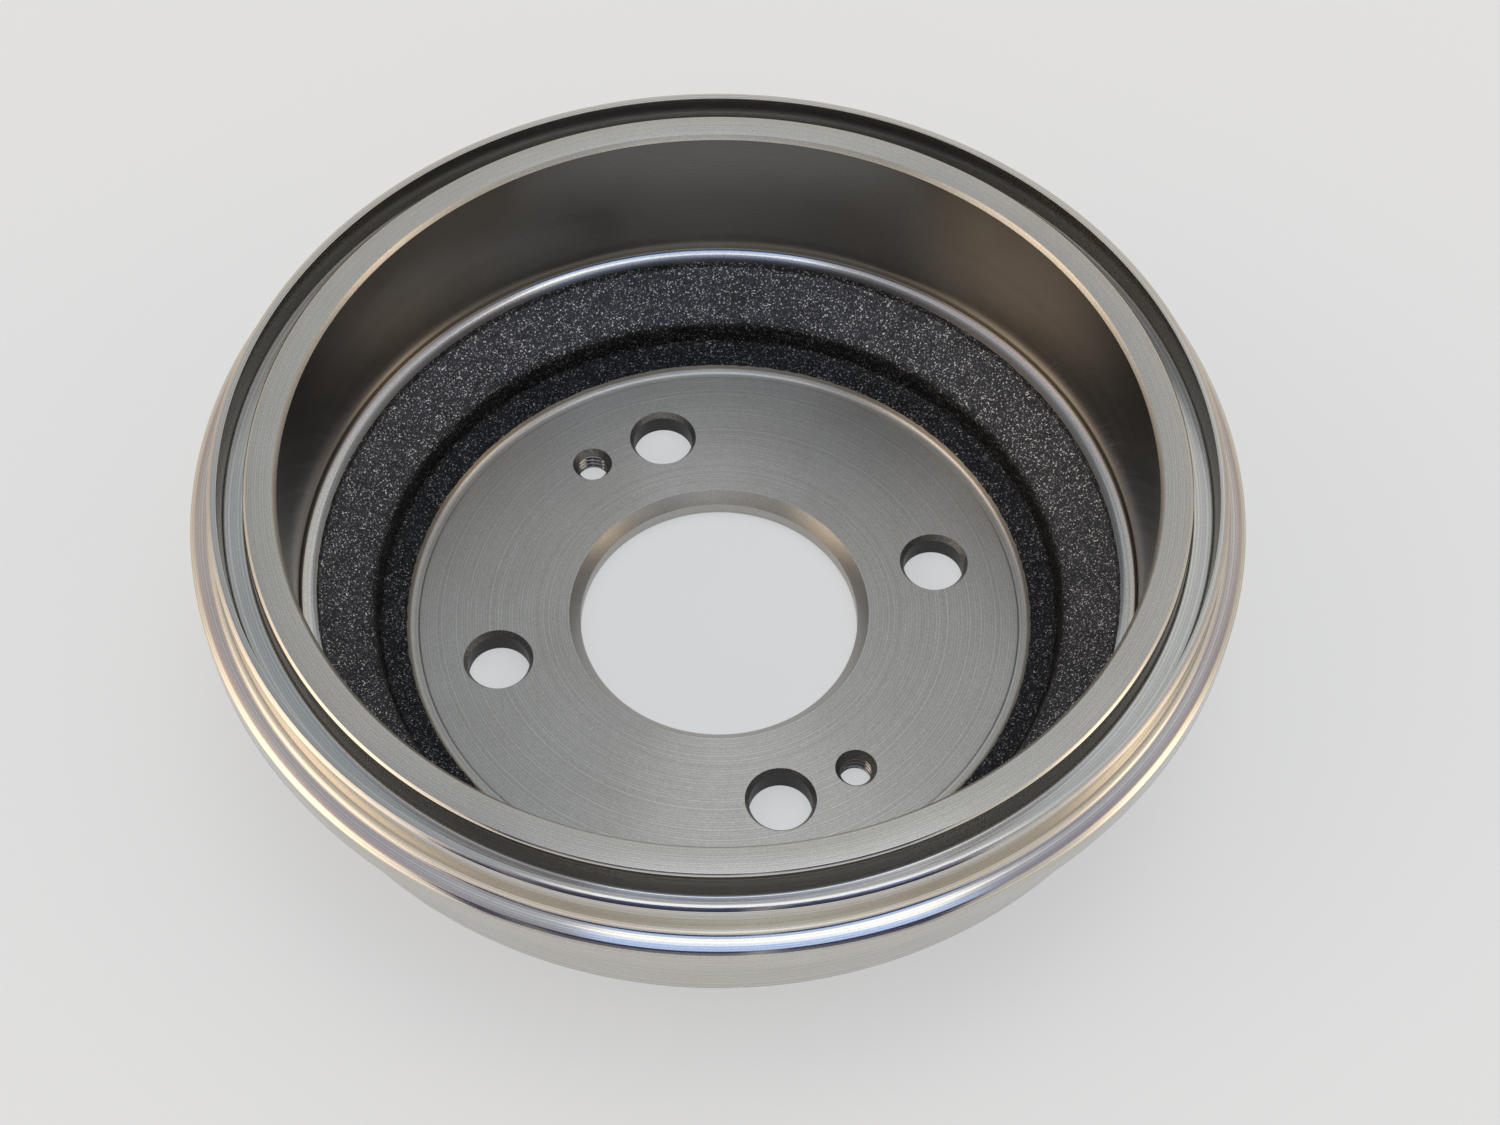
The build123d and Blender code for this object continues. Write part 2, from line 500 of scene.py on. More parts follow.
@dataclass(frozen=True)
class Corner:
    """One corner of the drum's section.

    Attributes:
        radius: mm from the axis.
        height: mm above the wheel face.
        finish: finish of the stretch that follows.
        rounding: radius of the rounding here; the finish of a rounding is the next stretch's.
        pitch: mm between rows of the mesh on the stretch that follows; a turned one has none.
        ragged: mm by which the corner wanders where a cut meets the cast skin.
    """

    radius: float
    height: float
    finish: Finish
    rounding: float = 0.0
    pitch: float = 60.0
    ragged: float = 0.0

    @property
    def place(self) -> Vector:
        """Its place in the section."""
        return Vector((self.radius, self.height))


@dataclass
class Row:
    """One ring of the swept mesh: its place in the section and the finish that starts at it."""

    radius: float
    height: float
    finish: Finish
    sharp: bool
    ragged: float = 0.0


def rounded(corners: list[Corner], arc_step: float) -> list[Row]:
    """Turns corners into rows, with each rounding as an arc and each long stretch divided.

    Args:
        corners: the open section, in order.
        arc_step: largest turn between two rows of an arc, in degrees.

    Returns:
        The rows, from the first corner to the last.
    """
    rows: list[Row] = []
    for index, corner in enumerate(corners):
        here = corner.place
        if corner.rounding > 0 and 0 < index < len(corners) - 1:
            before = (corners[index - 1].place - here).normalized()
            after = (corners[index + 1].place - here).normalized()
            turn = pi - before.angle(after)
            reach = corner.rounding * tan(turn / 2)
            start = here + before * reach
            centre = here + (before + after).normalized() * hypot(reach, corner.rounding)
            spoke = start - centre
            side = 1 if spoke.x * before.y - spoke.y * before.x < 0 else -1
            coarse = 1 if corner.rounding > FINE_EDGE else 2
            steps = max(2, ceil(turn / radians(arc_step * coarse)))
            for step in range(steps + 1):
                angle = side * turn * step / steps
                swung = Vector((
                    spoke.x * cos(angle) - spoke.y * sin(angle),
                    spoke.x * sin(angle) + spoke.y * cos(angle),
                ))
                rows.append(Row(*(centre + swung), corner.finish, False, corner.ragged))
        else:
            rows.append(Row(corner.radius, corner.height, corner.finish, True, corner.ragged))
        if index < len(corners) - 1:
            start = Vector((rows[-1].radius, rows[-1].height))
            following = corners[index + 1]
            end = following.place
            run = (end - start).length
            if following.rounding > 0 and index + 2 < len(corners):
                beyond = corners[index + 2].place - end
                turn = pi - (start - end).angle(beyond)
                run -= following.rounding * tan(turn / 2)
            heading = (end - start).normalized()
            pieces = max(1, ceil(run / corner.pitch))
            for piece in range(1, pieces):
                point = start + heading * (run * piece / pieces)
                rows.append(Row(point.x, point.y, corner.finish, False))
    return rows


@dataclass
class DrumSizes:
    """Driving sizes of the drum in mm; those that its mounts state come from the frame.

    Angles, whose names end in lean, slope or draft, are degrees from the stretch's own axis.
    """

    bore: float = record_mount("pilot_bore")["dims"]["r_mm"]
    bolt_circle: float = record_mount("stud_holes")["dims"]["pcd_mm"] / 2
    stud_hole: float = record_mount("stud_holes")["dims"]["hole_r_mm"]
    stud_count: int = record_mount("stud_holes")["dims"]["count"]
    jack_core: float = record_mount("jacking_hole_a")["dims"]["r_mm"]
    friction: float = record_mount("friction_surface")["dims"]["r_mm"]
    web: float = record_mount("hub_seat")["pos_m"][2] / MM
    top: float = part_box(NODE)[1][2] / MM
    rim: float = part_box(NODE)[1][0] / MM
    edge: float = 0.10                   # broken sharp edge
    # bore and holes
    bore_chamfer: float = 2.4
    bore_back_chamfer: float = 0.4
    sink_draft: float = 35.0
    stud_sink: float = 7.65
    jack_sink: float = 4.5
    thread_pitch: float = 1.25
    thread_depth: float = 0.62
    thread_runout: float = 0.25
    # turned recess of the hub seat
    seat: float = 68.5
    seat_depth: float = 1.6
    seat_lean: float = 9.0
    seat_corner: float = 1.3
    relief_width: float = 2.4
    relief_ramp: float = 0.4
    relief_depth: float = 0.15
    # cast web
    cast_edge: float = 0.6
    valley_width: float = 4.9
    valley_rise: float = 1.2
    step_height: float = 5.7
    step_width: float = 1.0
    ledge_width: float = 0.3
    ledge_height: float = 1.6
    # friction ring
    corner_height: float = 24.0
    corner_width: float = 3.5
    corner_slope: float = 32.0
    corner_inner: float = 4.2            # radius
    corner_outer: float = 1.2            # radius
    corner_straight: float = 0.05
    mouth_width: float = 0.8
    mouth_height: float = 1.0
    ring_thickness: float = 6.7
    ring_setback: float = 0.1
    bevel_width: float = 0.55
    bevel_height: float = 0.4
    # groove and lip
    collar_height: float = 1.45          # below the ring's face, where a second cut starts
    collar_steps: tuple[float, float] = (0.05, 0.14)    # beyond the ring, before and after the cut
    groove_depth: float = 6.6
    groove_width: float = 5.3
    groove_inner_taper: float = 0.5      # over the depth
    groove_outer_taper: float = 0.45     # over the depth
    lip: float = 103.9
    lip_crown: float = 2.0               # radius
    lip_rise: tuple[float, float] = (0.35, 0.04)        # width and height, from its inner edge
    lip_shoulder: tuple[float, float] = (0.8, 0.06)     # width and depth, at its outer edge
    lip_fall: float = 0.5                # below its top, where its outer wall starts
    # flange, body and back
    neck: float = 1.9                    # radius
    flange_edge: float = 9.45            # below the lip
    flange_widths: tuple[float, float] = (1.0, 1.1)
    flange_slopes: tuple[float, float, float] = (33.0, 20.0, 11.0)
    flange_foot: float = 14.33           # below the lip
    flange_root: float = 3.0             # radius
    body: float = 100.8
    skirt_wall: float = 7.5
    skirt_height: float = 11.0
    skirt_draft: float = 8.0
    back_chamfer: float = 3.0

    def __post_init__(self) -> None:
        """Works out the places that several sections share."""
        self.recess_edge = self.seat + (self.seat_depth + self.relief_depth) * slope(self.seat_lean)
        self.recess_top = self.web + self.seat_depth
        self.step_foot = self.recess_edge + self.cast_edge + self.valley_width
        self.corner_edge = self.friction - self.corner_width
        self.ring = self.friction + self.ring_thickness
        self.ring_top = self.top - self.ring_setback


class BrakeDrum:
    """The casting: a swept section, with its web pierced by stud holes and tapped holes."""

    ROUND = 360                # vertices in a ring of the turned faces; twice that on the cast skin
    ARC_STEP = 14.0            # degrees
    HOLE_ROUND = 72
    THREAD_ROUND = 48
    THREAD_STEPS = 12          # rows in one pitch
    THREAD_FLANK = 1.35        # the flanks' steepness: the root is flat where it passes 1
    THREAD_CREST = 0.15        # share of the flank that the flat crest takes
    JACK_PHASE = 0.35          # turns from one hole's thread start to the next one's
    SAND = (                   # mm across a lump, mm of relief, shift that gives it its own pattern
        (7.0, 0.16, (0, 0, 0)),
        (2.2, 0.12, (31, 7, 5)),
        (0.9, 0.11, (3, 17, 11)),
    )
    RAGGED = ((1.7, 1.0), (0.7, 0.7))    # mm along a wander of a cut's edge, and its share

    def __init__(self, sizes: DrumSizes) -> None:
        """Keeps the sizes and starts an empty mesh.

        Args:
            sizes: the drum's driving sizes.
        """
        self.sizes = sizes
        self.points: list[tuple[float, float, float]] = []
        self.faces: list[tuple[int, ...]] = []
        self.finishes: list[int] = []
        self.sharp: set[tuple[int, int]] = set()

    # -- section --

    def bore_section(self) -> list[Corner]:
        """The bore, from its back chamfer up to the seat.

        Returns:
            Its corners, in order.
        """
        s = self.sizes
        return [
            Corner(s.bore + s.bore_back_chamfer, 0, Finish.DRILLED),
            Corner(s.bore, s.bore_back_chamfer, Finish.SEAT, s.edge),
            Corner(s.bore, s.web - s.bore_chamfer, Finish.SEAT, s.edge),
            Corner(s.bore + s.bore_chamfer, s.web, Finish.SEAT),
        ]

    def seat_section(self) -> list[Corner]:
        """The run-out groove beside the recess's wall, and that wall.

        Returns:
            Its corners, in order.
        """
        s = self.sizes
        floor = s.web - s.relief_depth
        return [
            Corner(s.seat - s.relief_width, s.web, Finish.SEAT),
            Corner(s.seat - s.relief_width + s.relief_ramp, floor, Finish.SEAT, rounding=0.3),
            Corner(s.seat, floor, Finish.SEAT, s.seat_corner),
        ]

    def web_section(self) -> list[Corner]:
        """The cast floor, its step and the cone up to the corner ring.

        Returns:
            Its corners, in order.
        """
        s = self.sizes
        cast = Finish.CAST
        valley, valley_height = s.recess_edge + s.cast_edge, s.recess_top + s.cast_edge
        foot = valley_height + s.valley_rise
        return [
            Corner(s.recess_edge, s.recess_top, cast, pitch=0.45, ragged=0.16),
            Corner(valley, valley_height, cast, rounding=0.5, pitch=0.5),
            Corner(s.step_foot, foot, cast, rounding=1.5, pitch=0.6),
            Corner(s.step_foot + s.step_width, foot + s.step_height, cast, rounding=2.0, pitch=0.55),
            Corner(
                s.corner_edge - s.ledge_width, s.corner_height - s.ledge_height, cast,
                rounding=0.4, pitch=0.5,
            ),
        ]

    def ring_section(self) -> list[Corner]:
        """The turned corner, the friction surface and the ring's face.

        Returns:
            Its corners, in order.
        """
        s = self.sizes
        rise = radians(s.corner_slope)
        inner_reach = s.corner_inner * tan(rise / 2)
        outer_reach = s.corner_outer * tan((pi / 2 - rise) / 2)
        climb = inner_reach + s.corner_straight + outer_reach
        corner, face = Finish.CORNER, Finish.RING_FACE
        return [
            Corner(s.corner_edge, s.corner_height, corner, ragged=0.13),
            Corner(s.friction - climb * cos(rise), s.corner_height, corner, s.corner_inner),
            Corner(s.friction, s.corner_height + climb * sin(rise), Finish.FRICTION, s.corner_outer),
            Corner(s.friction, s.ring_top - s.mouth_height, face, s.edge),
            Corner(s.friction + s.mouth_width, s.ring_top, face, s.edge),
            Corner(s.ring - s.bevel_width, s.ring_top, Finish.OUTER, s.edge),
            Corner(s.ring, s.ring_top - s.bevel_height, Finish.GROOVE, s.edge),
        ]

    def groove_section(self) -> list[Corner]:
        """The groove, with a fine second cut under the ring's edge, and the lip.

        Returns:
            Its corners, in order.
        """
        s = self.sizes
        collar = s.ring_top - s.collar_height
        floor = s.top - s.groove_depth
        lip_inner = s.ring + s.groove_width
        first_step, second_step = s.collar_steps
        rise_width, rise = s.lip_rise
        shoulder, shoulder_fall = s.lip_shoulder
        outer, groove = Finish.OUTER, Finish.GROOVE
        return [
            Corner(s.ring + first_step, collar, outer, rounding=0.03),
            Corner(s.ring + second_step, collar - second_step, groove, rounding=0.03),
            Corner(s.ring + s.groove_inner_taper, floor, outer, rounding=0.6),
            Corner(lip_inner - s.groove_outer_taper, floor, groove, rounding=0.5),
            Corner(lip_inner, s.top - rise, outer, s.edge),
            Corner(lip_inner + rise_width, s.top, outer, s.lip_crown),
            Corner(s.lip - shoulder, s.top - shoulder_fall, outer, rounding=0.25, ragged=0.04),
            Corner(s.lip, s.top - s.lip_fall, outer, s.edge),
        ]

    def rim_section(self) -> list[Corner]:
        """The neck, the flange with its three slopes, and the body.

        Returns:
            Its corners, in order.
        """
        s = self.sizes
        outer = Finish.OUTER
        edge_width, crown_width = s.flange_widths
        edge_slope, crown_slope, top_slope = map(slope, s.flange_slopes)
        foot = s.top - s.flange_edge
        bevel = foot + edge_width * edge_slope
        crown = bevel + crown_width * crown_slope
        crown_radius = s.rim - edge_width - crown_width
        root = crown + (crown_radius - s.lip) * top_slope
        underside = s.top - s.flange_foot
        return [
            Corner(s.lip, root, outer, s.neck),
            Corner(crown_radius, crown, outer, rounding=8.0),
            Corner(s.rim - edge_width, bevel, outer, rounding=0.7),
            Corner(s.rim, foot, outer, s.edge),
            Corner(s.rim, underside, outer, s.edge),
            Corner(s.body, underside, outer, s.flange_root),
        ]

    def back_section(self) -> list[Corner]:
        """The body's foot, the skirt and the chamfer around the wheel face.

        Returns:
            Its corners, in order.
        """
        s = self.sizes
        skirt = s.step_foot + s.skirt_wall
        foot = skirt - (s.skirt_height - s.back_chamfer) * slope(s.skirt_draft)
        back = Finish.CAST_BACK
        return [
            Corner(s.body, s.corner_height, back, rounding=0.4),
            Corner(skirt, s.skirt_height, back, rounding=4.0),
            Corner(foot, s.back_chamfer, back, rounding=1.0),
            Corner(foot - s.back_chamfer, 0, Finish.BACK),
        ]

    # -- mesh --

    def add_ring(self, spots: list[tuple[float, float, float]]) -> list[int]:
        """Adds one closed ring of points and returns their indices."""
        self.points.extend(spots)
        return list(range(len(self.points) - len(spots), len(self.points)))

    def bridge(self, low: list[int], high: list[int], finish: Finish) -> None:
        """Joins two rings with faces; where one has twice the points, its spare ones join in.

        Args:
            low: the ring that comes first along the section.
            high: the ring that follows it.
            finish: the finish of the new faces.
        """
        few = min(len(low), len(high))
        low_step, high_step = len(low) // few, len(high) // few
        for i in range(few):
            below = [low[(i * low_step + k) % len(low)] for k in range(low_step + 1)]
            above = [high[(i * high_step + k) % len(high)] for k in range(high_step + 1)]
            self.faces.append((*reversed(below), *above))
            self.finishes.append(finish.value)

    def mark_sharp(self, *rings: list[int]) -> None:
        """Marks the edges of closed rings as sharp.

        Args:
            rings: the indices of each ring's points.
        """
        for ring in rings:
            for i, vertex in enumerate(ring):
                pair = (vertex, ring[(i + 1) % len(ring)])
                self.sharp.add((min(pair), max(pair)))

    def sand_relief(self, spot: Vector) -> float:
        """Works out the cast skin's height over its mean surface.

        Args:
            spot: a place on the mean surface, in mm.

        Returns:
            The height there, in mm.
        """
        return sum(
            noise.noise(spot / size + Vector(shift)) * relief for size, relief, shift in self.SAND
        )

    def sweep(self, corners: list[Corner]) -> tuple[list[int], list[int]]:
        """Sweeps a section about the axis, with the cast skin's grain.

        Args:
            corners: the open section.

        Returns:
            The first and the last ring.
        """
        rows = rounded(corners, self.ARC_STEP)
        rings: list[list[int]] = []
        for index, row in enumerate(rows):
            cast_before = index > 0 and rows[index - 1].finish is Finish.CAST
            rough = row.finish is Finish.CAST and cast_before
            count = self.ROUND * (2 if rough or row.ragged else 1)
            ahead = rows[min(index + 1, len(rows) - 1)]
            behind = rows[max(index - 1, 0)]
            normal = Vector((behind.height - ahead.height, ahead.radius - behind.radius)).normalized()
            spots = []
            for k in range(count):
                angle = 2 * pi * k / count
                radius, height = row.radius, row.height
                spot = Vector((radius * cos(angle), radius * sin(angle), height))
                if rough:
                    lift = self.sand_relief(spot)
                    radius += normal.x * lift
                    height += normal.y * lift
                elif row.ragged:
                    wander = sum(share * noise.noise(spot / size) for size, share in self.RAGGED)
                    radius += row.ragged * wander
                spots.append((radius * cos(angle), radius * sin(angle), height))
            ring = self.add_ring(spots)
            if row.sharp and 0 < index < len(rows) - 1:
                self.mark_sharp(ring)
            rings.append(ring)
        for index in range(len(rings) - 1):
            self.bridge(rings[index], rings[index + 1], rows[index].finish)
        self.mark_sharp(rings[0], rings[-1])
        return rings[0], rings[-1]

    def hole_ring(self, centre: Vector, radii: list[float], height: float) -> list[int]:
        """Adds a ring around a hole's own axis.

        Args:
            centre: the hole's axis, in mm.
            radii: the distance from that axis for each of the ring's points.
            height: mm above the wheel face.

        Returns:
            The indices of its points.
        """
        angles = [2 * pi * k / len(radii) for k in range(len(radii))]
        return self.add_ring([
            (centre.x + radius * cos(angle), centre.y + radius * sin(angle), height)
            for radius, angle in zip(radii, angles)
        ])

    def stud_hole(self, centre: Vector) -> tuple[list[int], list[int]]:
        """Drills and countersinks one stud hole.

        Args:
            centre: the hole's axis, in mm.

        Returns:
            The hole's rims on the wheel face and on the seat.
        """
        s = self.sizes
        neck = s.web - (s.stud_sink - s.stud_hole) / slope(s.sink_draft)
        foot, wall, rim = (
            self.hole_ring(centre, [radius] * self.HOLE_ROUND, height)
            for radius, height in ((s.stud_hole, 0), (s.stud_hole, neck), (s.stud_sink, s.web))
        )
        self.bridge(wall, foot, Finish.DRILLED)
        self.bridge(rim, wall, Finish.SINK)
        self.mark_sharp(foot, wall, rim)
        return foot, rim

    def tapped_hole(self, centre: Vector, phase: float) -> tuple[list[int], list[int]]:
        """Cuts one jacking hole with its helical thread, which runs out at both ends.

        Args:
            centre: the hole's axis, in mm.
            phase: where the thread starts, in turns.

        Returns:
            The hole's rims on the wheel face and on the seat.
        """
        s = self.sizes
        neck = s.web - (s.jack_sink - s.jack_core) / slope(s.sink_draft)
        steps = ceil(neck / s.thread_pitch * self.THREAD_STEPS)
        rings = []
        for step in range(steps + 1):
            height = neck * step / steps
            fade = min(1.0, min(height, neck - height) / s.thread_runout)
            radii = []
            for k in range(self.THREAD_ROUND):
                turn = (height / s.thread_pitch - k / self.THREAD_ROUND + phase) % 1.0
                flank = (1 - abs(2 * turn - 1)) * self.THREAD_FLANK - self.THREAD_CREST
                radii.append(s.jack_core + s.thread_depth * min(1.0, max(0.0, flank)) * fade)
            rings.append(self.hole_ring(centre, radii, height))
        for below, above in zip(rings, rings[1:]):
            self.bridge(above, below, Finish.THREAD)
        rim = self.hole_ring(centre, [s.jack_sink] * self.THREAD_ROUND, s.web)
        self.bridge(rim, rings[-1], Finish.SINK)
        self.mark_sharp(rings[0], rings[-1], rim)
        return rings[0], rim

    def fill(
        self, outline: list[int], openings: tuple[list[int], ...], finish: Finish, up: bool
    ) -> None:
        """Fills a level face between its outline and its openings.

        Args:
            outline: the outer ring.
            openings: the rings that it leaves open.
            finish: the finish of the new faces.
            up: True where the face looks up.
        """
        loops = [outline, *openings]
        order = [vertex for loop in loops for vertex in loop]
        flat = [[Vector(self.points[v][:2] + (0.0,)) for v in loop] for loop in loops]
        for triangle in tessellate_polygon(flat):
            a, b, c = (order[i] for i in triangle)
            pa, pb, pc = (self.points[v] for v in (a, b, c))
            area = (pb[0] - pa[0]) * (pc[1] - pa[1]) - (pb[1] - pa[1]) * (pc[0] - pa[0])
            self.faces.append((a, b, c) if (area > 0) == up else (a, c, b))
            self.finishes.append(finish.value)

    def make_object(self, materials: dict[Finish, Material]) -> bpy.types.Object:
        """Turns the collected points and faces into one Blender object.

        Args:
            materials: a material for each finish.

        Returns:
            The drum, in metres, with its sharp edges marked.
        """
        mesh = bpy.data.meshes.new("drum_casting")
        points = [tuple(MM * value for value in point) for point in self.points]
        mesh.from_pydata(points, [], self.faces)
        for finish in Finish:
            mesh.materials.append(materials[finish])
        mesh.polygons.foreach_set("material_index", self.finishes)
        mesh.shade_smooth()
        ends = np.empty(len(mesh.edges) * 2, dtype=np.int32)
        mesh.edges.foreach_get("vertices", ends)
        ends = np.sort(ends.reshape(-1, 2), axis=1)
        flags = [(int(a), int(b)) in self.sharp for a, b in ends]
        layer = mesh.attributes.new("sharp_edge", "BOOLEAN", "EDGE")
        layer.data.foreach_set("value", flags)
        mesh.validate()
        mesh.update()
        drum = bpy.data.objects.new("drum_casting", mesh)
        bpy.context.scene.collection.objects.link(drum)
        return drum

    def build(self, materials: dict[Finish, Material]) -> bpy.types.Object:
        """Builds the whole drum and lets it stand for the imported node.

        Args:
            materials: a material for each finish.

        Returns:
            The drum, bound to its body.
        """
        s = self.sizes
        holes = [self.sweep(self.bore_section())]
        seat_edge, back_edge = self.sweep([
            *self.seat_section(),
            *self.web_section(),
            *self.ring_section(),
            *self.groove_section(),
            *self.rim_section(),
            *self.back_section(),
        ])
        for index in range(s.stud_count):
            angle = 2 * pi * index / s.stud_count
            centre = Vector((s.bolt_circle * cos(angle), s.bolt_circle * sin(angle)))
            holes.append(self.stud_hole(centre))
        for index, name in enumerate(("jacking_hole_a", "jacking_hole_b")):
            centre = Vector(record_mount(name)["pos_m"][:2]) / MM
            holes.append(self.tapped_hole(centre, self.JACK_PHASE * index))
        feet, rims = zip(*holes)
        self.fill(seat_edge, rims, Finish.SEAT, True)
        self.fill(back_edge, feet, Finish.BACK, False)
        drum = self.make_object(materials)
        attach(drum, BODY)
        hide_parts(NODE)
        return drum


# ---- the studio -----------------------------------------------------------------------------


@dataclass(frozen=True)
class Glow:
    """A soft patch of light or shade in the room, as seen from the drum.

    Attributes:
        azimuth: degrees from the camera's side, positive towards the camera's right.
        elevation: degrees above the table.
        spread: degrees from its middle to where it has fallen to about a third.
        light: linear RGB that it adds, or the share of the light that it takes away.
    """

    azimuth: float
    elevation: float
    spread: float
    light: tuple[float, float, float]

    def mask(self, tree: Tree, way: Source, front: float) -> Source:
        """Adds nodes that give 1 in its middle and fall to 0 around it.

        Args:
            tree: the world's node tree.
            way: the direction that is looked along.
            front: the camera's azimuth in degrees.

        Returns:
            The falloff.
        """
        turn, lift = radians(front + self.azimuth), radians(self.elevation)
        middle = (cos(lift) * cos(turn), cos(lift) * sin(turn), sin(lift))
        facing = add_node(tree, "VectorMath", {"operation": "DOT_PRODUCT"}, {0: way, 1: middle})
        sharpness = 1 / (1 - cos(radians(self.spread)))
        fall = add_node(
            tree, "Math", {"operation": "MULTIPLY_ADD"},
            {0: facing.outputs["Value"], 1: sharpness, 2: -sharpness},
        )
        return add_node(tree, "Math", {"operation": "EXPONENT"}, {0: fall})


@dataclass(frozen=True)
class Panel:
    """A rectangle of even light or shade in the ceiling, square to the camera's side.

    Places are tangents of the angle from straight up.

    Attributes:
        left, right: its sides, positive towards the camera's right.
        near, far: its ends, positive away from the camera.
        light: linear RGB that takes the room's place inside it.
        blur: width of its soft edge.
    """

    left: float
    right: float
    near: float
    far: float
    light: tuple[float, float, float]
    blur: float = 0.04

    def mask(self, tree: Tree, across: Source, along: Source) -> Source:
        """Adds the nodes that are 1 inside the panel and 0 outside.

        Args:
            tree: the world's node tree.
            across: tangent towards the camera's right.
            along: tangent away from the camera.

        Returns:
            The mask.
        """
        return factors(tree, [
            (place, edge - blur, edge + blur, 0.0, 1.0)
            for place, edge, blur in (
                (across, self.left, self.blur),
                (across, self.right, -self.blur),
                (along, self.near, self.blur),
                (along, self.far, -self.blur),
            )
        ], "SMOOTHSTEP")


@dataclass
class Studio:
    """Pale table, a softly lit room with its ceiling lamp, and the camera.

    The bright metal mirrors the room, so the room has what such a room has overhead: a lamp,
    a skylight, a dark beam and warm lamps at the sides. The colours are linear RGB.
    """

    HORIZON = 0.01             # least height at which a direction still meets the ceiling

    table_half: float = 3.0                      # m
    lens: float = 62.54                          # mm on a 36 mm sensor
    distance: float = 0.5925                     # m from the aim to the camera
    elevation: float = 54.907                    # degrees above the table
    azimuth: float = -106.377                    # degrees from +X, where the camera stands
    aim: tuple[float, float, float] = (0.01119, 0.01450, 0.0)
    roll: float = 1.055                          # degrees
    night: tuple[float, float, float] = (0.02, 0.02, 0.08)    # least share of light in a shade
    room_low: tuple[float, float, float] = (0.86, 0.75, 0.61)
    room_middle: tuple[float, float, float] = (0.80, 0.77, 0.71)
    room_high: tuple[float, float, float] = (0.75, 0.82, 0.90)
    middle_rise: float = 0.55                    # sine of the elevation at which it is room_middle
    shades: tuple[Glow, ...] = (
        Glow(-150, 60, 20, (0.50, 0.45, 0.40)),   # dark ceiling beyond the drum
        Glow(-92, 58, 12, (0.42, 0.48, 0.36)),    # beams
        Glow(92, 58, 12, (0.42, 0.48, 0.36)),
        Glow(-114, 41, 12, (0.40, 0.48, 0.38)),
        Glow(114, 41, 12, (0.40, 0.48, 0.38)),
        Glow(-132, 24, 12, (0.32, 0.40, 0.32)),   # curtains
        Glow(132, 24, 12, (0.32, 0.40, 0.32)),
        Glow(-55, 64, 13, (0.55, 0.58, 0.50)),    # ceiling beside the skylight
        Glow(60, 62, 13, (0.55, 0.58, 0.50)),
    )
    lights: tuple[Glow, ...] = (
        Glow(84, 25, 12, (2.0, 1.5, 1.0)),        # warm lamps on the right
        Glow(-82, 29, 21, (1.8, 1.35, 0.92)),     # warm lamps on the left
        Glow(8, 8, 20, (0.38, 0.47, 0.55)),       # daylight behind the camera
    )
    panels: tuple[Panel, ...] = (
        Panel(-0.87, 0.80, -0.95, -0.46, (0.02, 0.02, 0.09)),   # unlit beam over the camera
        Panel(0.10, 0.17, -0.95, -0.46, (0.40, 0.38, 0.42)),    # gaps in it
        Panel(-0.61, -0.50, -0.95, -0.46, (0.22, 0.21, 0.24)),
        Panel(-0.20, 0.46, -0.42, -0.07, (0.68, 0.93, 1.50)),   # skylight
        Panel(-0.15, 0.31, -0.07, 0.32, (1.90, 1.90, 1.86)),    # ceiling lamp
    )

    def lay_table(self) -> bpy.types.Object:
        """Lays the table top, level with the drum's wheel face.

        Returns:
            The table top, as a staged object.
        """
        half = self.table_half
        mesh = bpy.data.meshes.new("table_top")
        corners = [(-half, -half, 0), (half, -half, 0), (half, half, 0), (-half, half, 0)]
        mesh.from_pydata(corners, [], [(0, 1, 2, 3)])
        mesh.materials.append(TableTop().build())
        table = bpy.data.objects.new("table_top", mesh)
        bpy.context.scene.collection.objects.link(table)
        return table

    def wall_tone(self, tree: Tree, way: Source) -> Source:
        """Adds the room's own tone: warm near the table and cool above.

        Args:
            tree: the world's node tree.
            way: the direction that is looked along.

        Returns:
            The tone.
        """
        rise = add_node(tree, "SeparateXYZ", inputs={0: way}).outputs["Z"]
        tone = self.room_low
        for low, high, upper in (
            (0.0, self.middle_rise, self.room_middle), (self.middle_rise, 1.0, self.room_high)
        ):
            share = add_node(tree, "MapRange", inputs={0: rise, 1: low, 2: high, 3: 0.0, 4: 1.0})
            tone = add_node(
                tree, "Mix", {"data_type": "VECTOR"}, {0: share, 4: tone, 5: upper}
            ).outputs[1]
        return tone

    def ceiling_place(self, tree: Tree, way: Source) -> tuple[Source, Source]:
        """Adds where the ceiling is looked at, as tangents of the angle from straight up.

        Args:
            tree: the world's node tree.
            way: the direction that is looked along.

        Returns:
            The place towards the camera's right and the place away from the camera.
        """
        level = add_node(
            tree, "VectorRotate", {"rotation_type": "Z_AXIS"},
            {"Vector": way, "Angle": -radians(self.azimuth + 90)},
        )
        place = add_node(tree, "SeparateXYZ", inputs={0: level}).outputs
        up = add_node(tree, "Math", {"operation": "MAXIMUM"}, {0: place["Z"], 1: self.HORIZON})
        across, along = (
            add_node(tree, "Math", {"operation": "DIVIDE"}, {0: place[axis], 1: up})
            for axis in ("X", "Y")
        )
        return across, along

